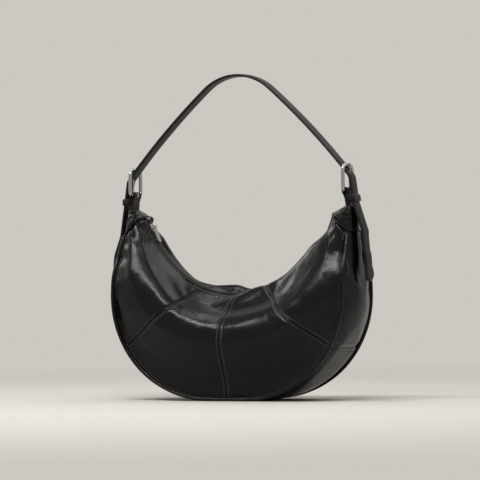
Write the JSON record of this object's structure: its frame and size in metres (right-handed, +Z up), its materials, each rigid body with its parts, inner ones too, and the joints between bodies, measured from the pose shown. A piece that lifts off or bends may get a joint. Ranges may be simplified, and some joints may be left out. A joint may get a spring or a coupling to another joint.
{
  "type": "half moon bag",
  "caption": "Crescent shoulder bag in black glazed leather with a curved top zip, piped gusset and an arched strap on polished buckles.",
  "frame": {"origin": "on the floor, under the middle of the bag", "axes": "+X to the right seen from the front, +Y to the back, +Z up"},
  "size_m": [0.369, 0.1346, 0.426],
  "materials": {
    "glazed_leather": "glazed, softly reflective",
    "strap_leather": "smooth, satin, painted edges",
    "lining": "plain weave",
    "zip_tape": "woven tape",
    "polished_metal": "polished silver"
  },
  "bodies": {
    "bag": {"front_left_middle_gore": "glazed_leather", "front_left_end_gore": "glazed_leather", "front_right_middle_gore": "glazed_leather", "front_right_end_gore": "glazed_leather", "back_left_middle_gore": "glazed_leather", "back_left_end_gore": "glazed_leather", "back_right_middle_gore": "glazed_leather", "back_right_end_gore": "glazed_leather", "gusset_base": "glazed_leather", "gusset_left": "glazed_leather", "gusset_right": "glazed_leather", "front_piping": "glazed_leather", "back_piping": "glazed_leather", "horn_cap_left": "glazed_leather", "horn_cap_right": "glazed_leather", "lining_front": "lining", "lining_back": "lining", "lining_gusset": "lining", "zip_tape_front": "zip_tape", "zip_tape_back": "zip_tape", "zip_teeth_front": "polished_metal", "zip_teeth_back": "polished_metal", "zip_stop_left": "polished_metal", "zip_stop_right": "polished_metal"},
    "strap": {"strap": "strap_leather", "buckle_frame_left": "polished_metal", "buckle_frame_right": "polished_metal", "buckle_tab_left": "strap_leather", "buckle_tab_right": "strap_leather", "keeper_left": "strap_leather", "keeper_right": "strap_leather"},
    "slider": {"zip_slider": "polished_metal"},
    "pull": {"zip_pull": "polished_metal"},
    "prong_left": {"buckle_prong_left": "polished_metal"},
    "prong_right": {"buckle_prong_right": "polished_metal"}
  },
  "joints": [
    {"name": "strap_swing", "type": "hinge", "parent": "bag", "child": "strap", "pos_m": [0, 0, 0.243], "axis": [1, 0, 0], "range_deg": [-40, 40]},
    {"name": "slider_travel", "type": "hinge", "parent": "bag", "child": "slider", "pos_m": [0, 0, 0.279], "axis": [0, -1, 0], "range_deg": [0, 136]},
    {"name": "pull_swing", "type": "hinge", "parent": "slider", "child": "pull", "pos_m": [-0.12563, 0, 0.22824], "axis": [0, -1, 0], "range_deg": [0, 150]},
    {"name": "prong_left_play", "type": "hinge", "parent": "strap", "child": "prong_left", "pos_m": [-0.1537, 0, 0.2706], "axis": [0, -1, 0], "range_deg": [0, 4]},
    {"name": "prong_right_play", "type": "hinge", "parent": "strap", "child": "prong_right", "pos_m": [0.1537, 0, 0.2706], "axis": [0, 1, 0], "range_deg": [0, 4]}
  ]
}
